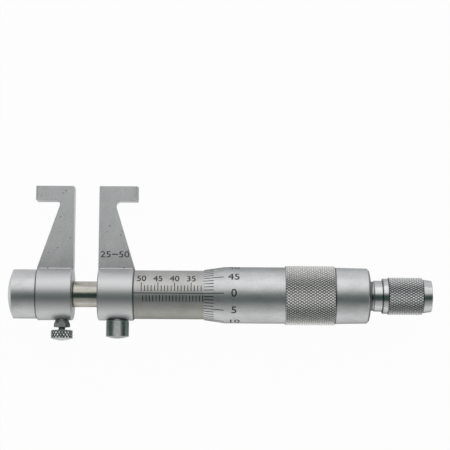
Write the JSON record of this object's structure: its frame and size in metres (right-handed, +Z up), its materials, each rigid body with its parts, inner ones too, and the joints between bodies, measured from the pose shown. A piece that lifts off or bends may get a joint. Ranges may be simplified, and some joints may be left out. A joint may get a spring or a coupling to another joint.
{
  "type": "inside micrometer",
  "caption": "Inside micrometer with a fixed and a sliding jaw whose hardened tips point outwards, a scaled sleeve, a knurled thimble, a clamp screw and a ratchet knob.",
  "frame": {"origin": "centre of the bounding box's bottom face; the tool lies on its back as it rests on a bench", "axes": "+X along the spindle from the end cap towards the ratchet, +Y the way the jaws point seen from above, +Z up out of the bench; the jaws slope down from the spindle by the angle at which the tool rests"},
  "size_m": [0.129, 0.047, 0.0182],
  "materials": {
    "satin_steel": "satin, ground",
    "satin_chrome": "satin chrome",
    "ground_steel": "fine ground",
    "carbide": "lapped carbide",
    "dark_steel": "black oxide, satin",
    "spring_steel": "drawn wire",
    "brass": "turned"
  },
  "bodies": {
    "fixed_side": {"fixed_jaw": "satin_steel", "fixed_jaw_tip": "carbide", "inner_barrel": "ground_steel", "sleeve": "satin_chrome", "adjusting_nut": "ground_steel", "guide_key": "ground_steel", "key_spring": "spring_steel", "key_housing": "dark_steel"},
    "carriage": {"sliding_jaw": "satin_steel", "sliding_jaw_tip": "carbide", "guide_tube": "ground_steel", "thrust_washer": "ground_steel", "end_cap": "satin_chrome", "clamp_bush": "dark_steel"},
    "screw": {"spindle": "ground_steel", "spindle_end_nut": "ground_steel", "thimble": "satin_chrome", "ratchet_base": "satin_chrome", "ratchet_axle": "ground_steel"},
    "ratchet": {"ratchet_knob": "satin_chrome", "ratchet_pawl": "ground_steel", "ratchet_spring": "spring_steel"},
    "pad": {"clamp_pad": "brass"},
    "clamp": {"clamp_screw": "dark_steel"}
  },
  "joints": [
    {"name": "jaw_slide", "type": "slide", "parent": "fixed_side", "child": "carriage", "axis": [-1, 0, 0], "range_m": [-0.0065, 0.0185]},
    {"name": "thimble_turn", "type": "hinge", "parent": "carriage", "child": "screw", "pos_m": [-0.03704, -0.00946, 0.00908], "axis": [-1, 0, 0], "range_deg": [-4680, 13320]},
    {"name": "ratchet_turn", "type": "hinge", "parent": "screw", "child": "ratchet", "pos_m": [0.05296, -0.00946, 0.00908], "axis": [-1, 0, 0], "continuous": true},
    {"name": "clamp_pad_slide", "type": "slide", "parent": "carriage", "child": "pad", "axis": [0, 0.9861, -0.1662], "range_m": [-0.00045, 0.00028]},
    {"name": "clamp_screw_turn", "type": "hinge", "parent": "pad", "child": "clamp", "pos_m": [-0.04804, -0.02129, 0.01107], "axis": [0, 0.9861, -0.1662], "range_deg": [-360, 224]}
  ],
  "couplings": [
    {"joint": "thimble_turn", "follows": "jaw_slide", "rad_per_m": 12566},
    {"joint": "clamp_screw_turn", "follows": "clamp_pad_slide", "rad_per_m": 13963}
  ]
}
